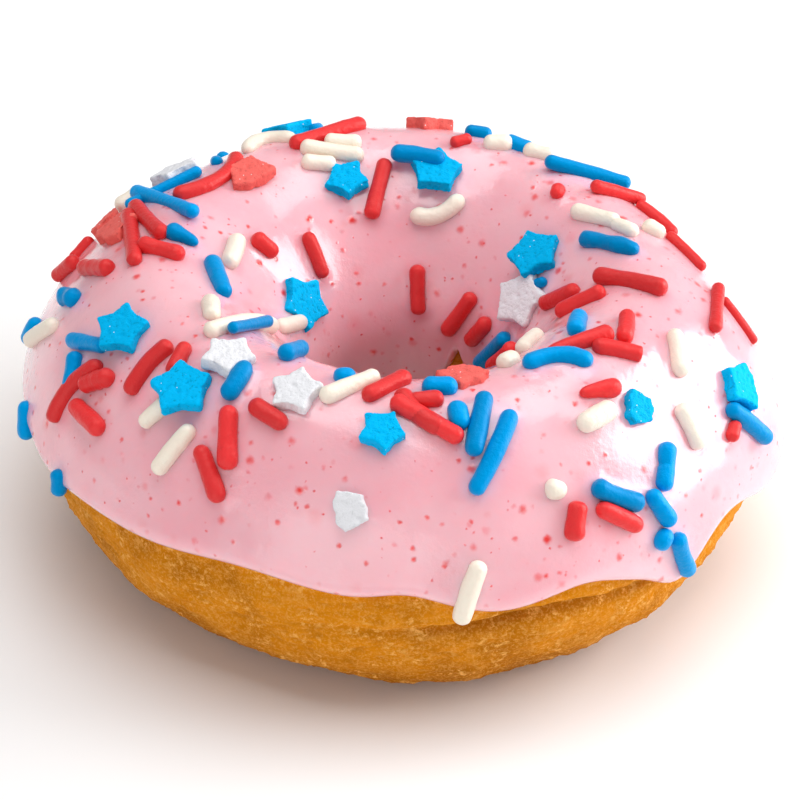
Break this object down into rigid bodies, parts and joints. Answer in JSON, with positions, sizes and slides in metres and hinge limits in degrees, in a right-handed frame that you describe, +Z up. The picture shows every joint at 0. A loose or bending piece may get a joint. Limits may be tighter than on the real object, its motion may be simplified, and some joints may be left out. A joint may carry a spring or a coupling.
{
  "type": "sprinkle frosted doughnut",
  "caption": "Ring doughnut of fried cake with a poured pink icing over its upper half, set with rod and star shaped sugar sprinkles in red, blue and cream white.",
  "frame": {"origin": "middle of the footprint of the whole doughnut, on the surface it rests on", "axes": "+Z up through the hole, +Y away from the side that faces the viewer, +X to that side's right"},
  "size_m": [0.083, 0.0826, 0.0355],
  "materials": {
    "cake": "dull golden brown fried crust with a fine crumb",
    "icing": "glossy pale pink sugar icing with small red flecks, and sugar sprinkles set in it"
  },
  "bodies": {
    "root": {"cake_ring": "cake", "icing": "icing"}
  },
  "joints": []
}
